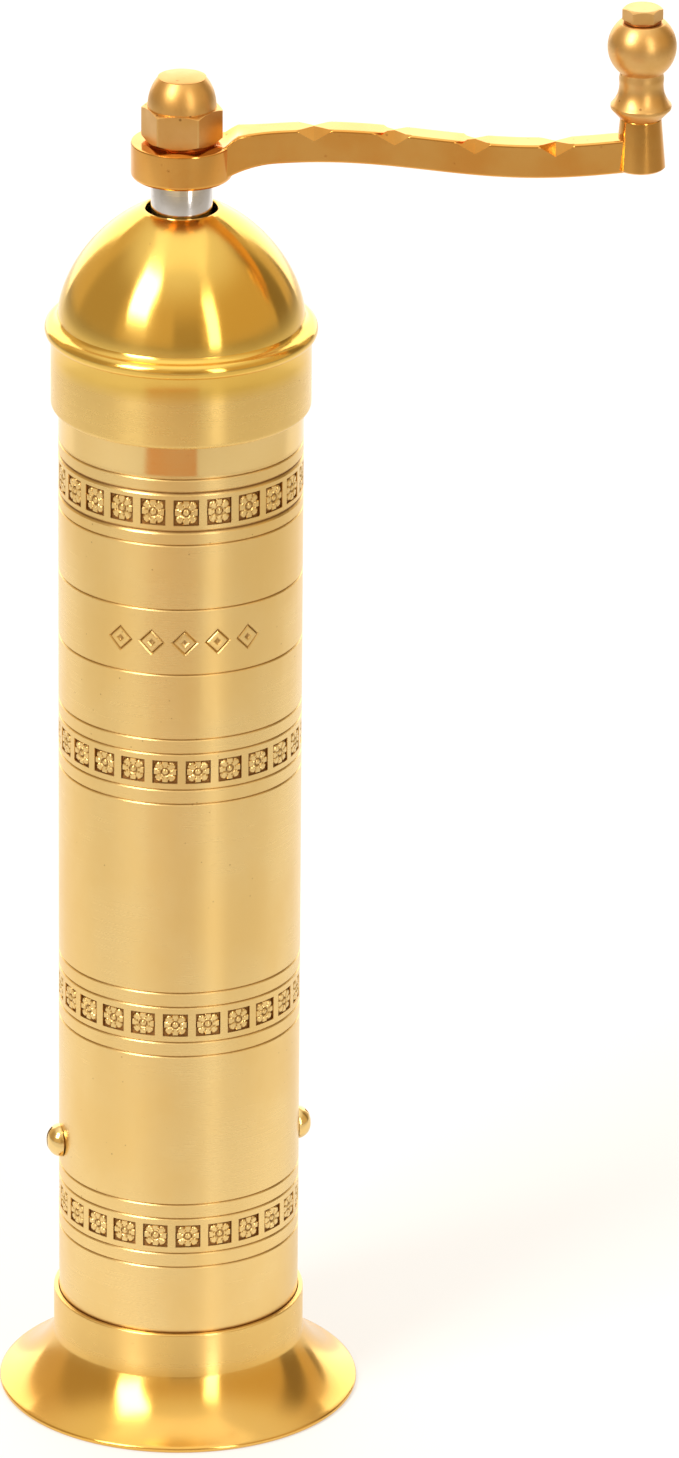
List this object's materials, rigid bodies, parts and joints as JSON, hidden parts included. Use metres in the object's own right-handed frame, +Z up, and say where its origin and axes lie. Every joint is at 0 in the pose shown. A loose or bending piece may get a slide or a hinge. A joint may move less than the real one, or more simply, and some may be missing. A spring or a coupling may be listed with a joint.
{
  "type": "pepper mill",
  "caption": "Hand-cranked brass pepper mill: banded tube on a flared foot, domed lid, long crank with turned knob.",
  "frame": {"origin": "on the tube's axis, in the plane that the foot stands on", "axes": "+Z up along the tube's axis, +X from the tube's axis towards the crank's knob at rest"},
  "size_m": [0.104, 0.057, 0.2312],
  "materials": {
    "tube_brass": "turned, satin, lightly patinated",
    "polished_brass": "mirror polished with satin skirt and collar",
    "crank_brass": "cast and polished",
    "raw_brass": "satin, as turned",
    "screw_brass": "polished slotted heads",
    "plated_steel": "bright nickel plated",
    "shaft_steel": "drawn bar, bright",
    "burr_steel": "hardened, dark grey",
    "cast_aluminium": "turned casting",
    "zinc_steel": "zinc plated",
    "bush_bronze": "bearing bronze",
    "adjuster_brass": "knurled, turned",
    "spring_steel": "hard drawn wire"
  },
  "bodies": {
    "base": {"body_tube": "tube_brass", "flared_foot": "polished_brass", "burr_carrier": "cast_aluminium", "carrier_screws": "screw_brass", "burr_ring": "burr_steel", "ring_retainer": "zinc_steel", "bottom_bridge": "zinc_steel", "bridge_screws": "zinc_steel", "adjuster_lock_nut": "zinc_steel", "guide_bridge": "zinc_steel", "guide_screws": "zinc_steel", "guide_bush": "bush_bronze", "return_spring": "spring_steel"},
    "thrust_seat": {"thrust_ball": "shaft_steel"},
    "adjuster": {"adjusting_screw": "adjuster_brass"},
    "rotor": {"drive_shaft": "shaft_steel", "shaft_collar": "plated_steel", "burr_cone": "burr_steel", "cone_clip": "zinc_steel", "spring_seat": "zinc_steel"},
    "crank": {"crank_arm": "crank_brass", "nut_washer": "raw_brass", "knob_bolt": "raw_brass", "knob_washer": "raw_brass"},
    "nut": {"acorn_nut": "raw_brass"},
    "knob": {"knob": "raw_brass"},
    "lid": {"dome_lid": "polished_brass"}
  },
  "joints": [
    {"name": "grind_set", "type": "slide", "parent": "base", "child": "thrust_seat", "axis": [0, 0, 1], "range_m": [-0.0005, 0.0005], "deforming": ["return_spring"]},
    {"name": "adjuster_turn", "type": "hinge", "parent": "thrust_seat", "child": "adjuster", "pos_m": [0, 0, 0.01], "axis": [0, 0, 1], "range_deg": [-180, 180]},
    {"name": "crank_turn", "type": "hinge", "parent": "thrust_seat", "child": "rotor", "pos_m": [0, 0, 0.2], "axis": [0, 0, 1], "continuous": true},
    {"name": "crank_lift", "type": "slide", "parent": "rotor", "child": "crank", "axis": [0, 0, 1], "range_m": [0, 0.056]},
    {"name": "nut_unscrew", "type": "slide", "parent": "crank", "child": "nut", "axis": [0, 0, 1], "range_m": [0, 0.01]},
    {"name": "knob_spin", "type": "hinge", "parent": "crank", "child": "knob", "pos_m": [0.0702, 0, 0.22], "axis": [0, 0, 1], "continuous": true},
    {"name": "lid_lift", "type": "slide", "parent": "base", "child": "lid", "axis": [0, 0, 1], "range_m": [0, 0.056]}
  ],
  "couplings": [
    {"joint": "adjuster_turn", "follows": "grind_set", "rad_per_m": 6283.2},
    {"joint": "crank_lift", "follows": "lid_lift", "ratio": 1}
  ]
}
